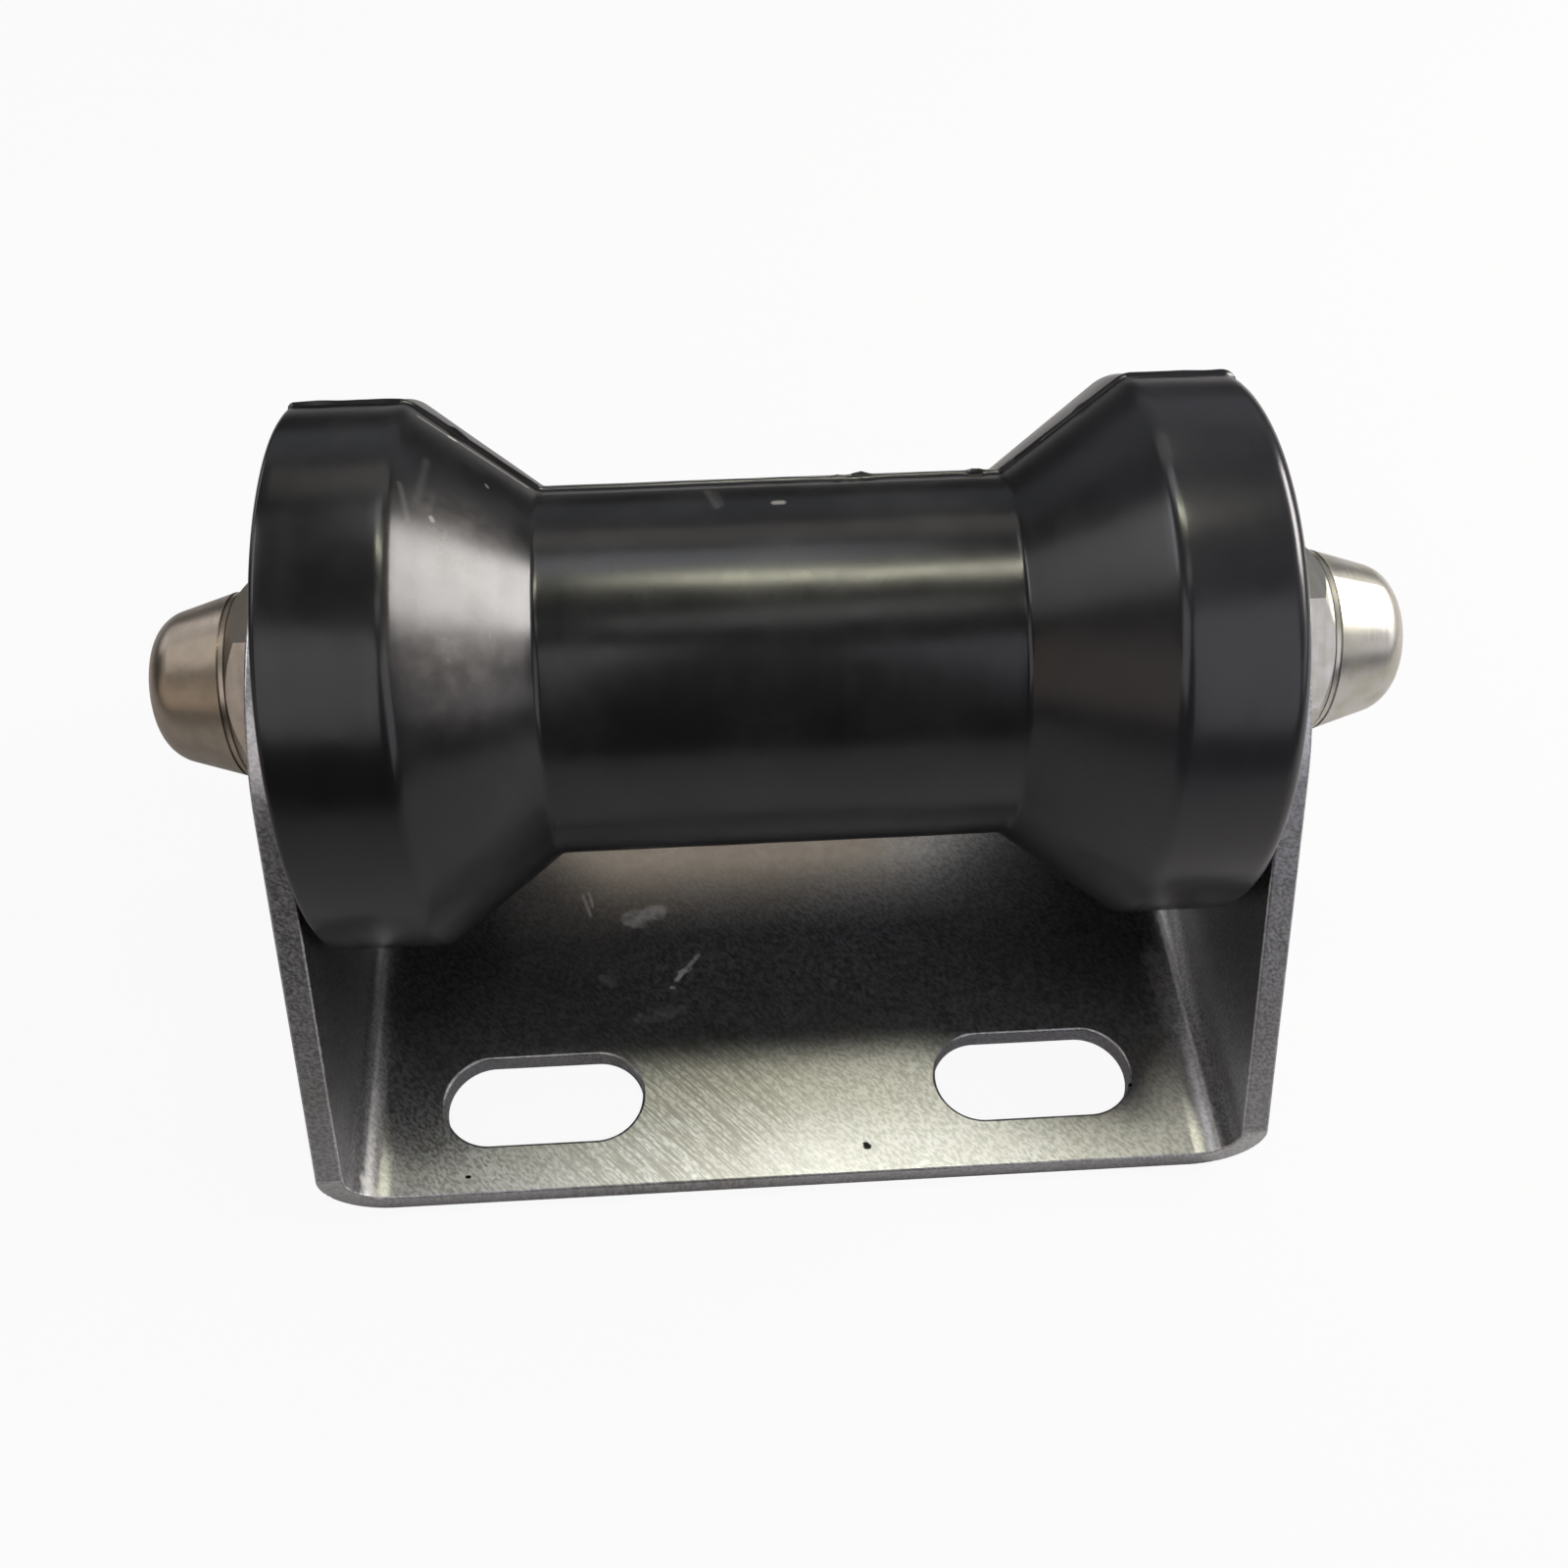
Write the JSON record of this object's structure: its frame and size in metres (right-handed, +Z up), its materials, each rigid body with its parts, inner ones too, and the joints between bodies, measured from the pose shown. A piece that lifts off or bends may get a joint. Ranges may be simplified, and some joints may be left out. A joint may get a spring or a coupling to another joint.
{
  "type": "bow roller",
  "caption": "Waisted rubber bow roller turning on an axle between the ears of a folded stainless bracket with slotted feet, held by cap nuts.",
  "frame": {"origin": "underside of the base, straight below the middle of the axle", "axes": "+X along the axle, +Y from the front edge of the base to the back, +Z up from the deck"},
  "size_m": [0.1602, 0.1054, 0.0837],
  "materials": {
    "bracket_steel": "mill-finish stainless sheet with grinding lines",
    "roller_rubber": "satin black moulded rubber",
    "core_tube_steel": "drawn tube",
    "bush_nylon": "natural nylon",
    "axle_steel": "bright drawn stainless",
    "nut_steel": "polished stainless"
  },
  "bodies": {
    "frame": {"bracket": "bracket_steel", "spacer_tube": "axle_steel", "axle_stud": "axle_steel", "thrust_washer_left": "bush_nylon", "thrust_washer_right": "bush_nylon", "cap_nut_left": "nut_steel", "cap_nut_right": "nut_steel"},
    "roller": {"roller_tread": "roller_rubber", "roller_core": "core_tube_steel", "bush_left": "bush_nylon", "bush_right": "bush_nylon"}
  },
  "joints": [
    {"name": "roller_spin", "type": "hinge", "parent": "frame", "child": "roller", "pos_m": [0, 0, 0.0487], "axis": [1, 0, 0], "continuous": true}
  ]
}
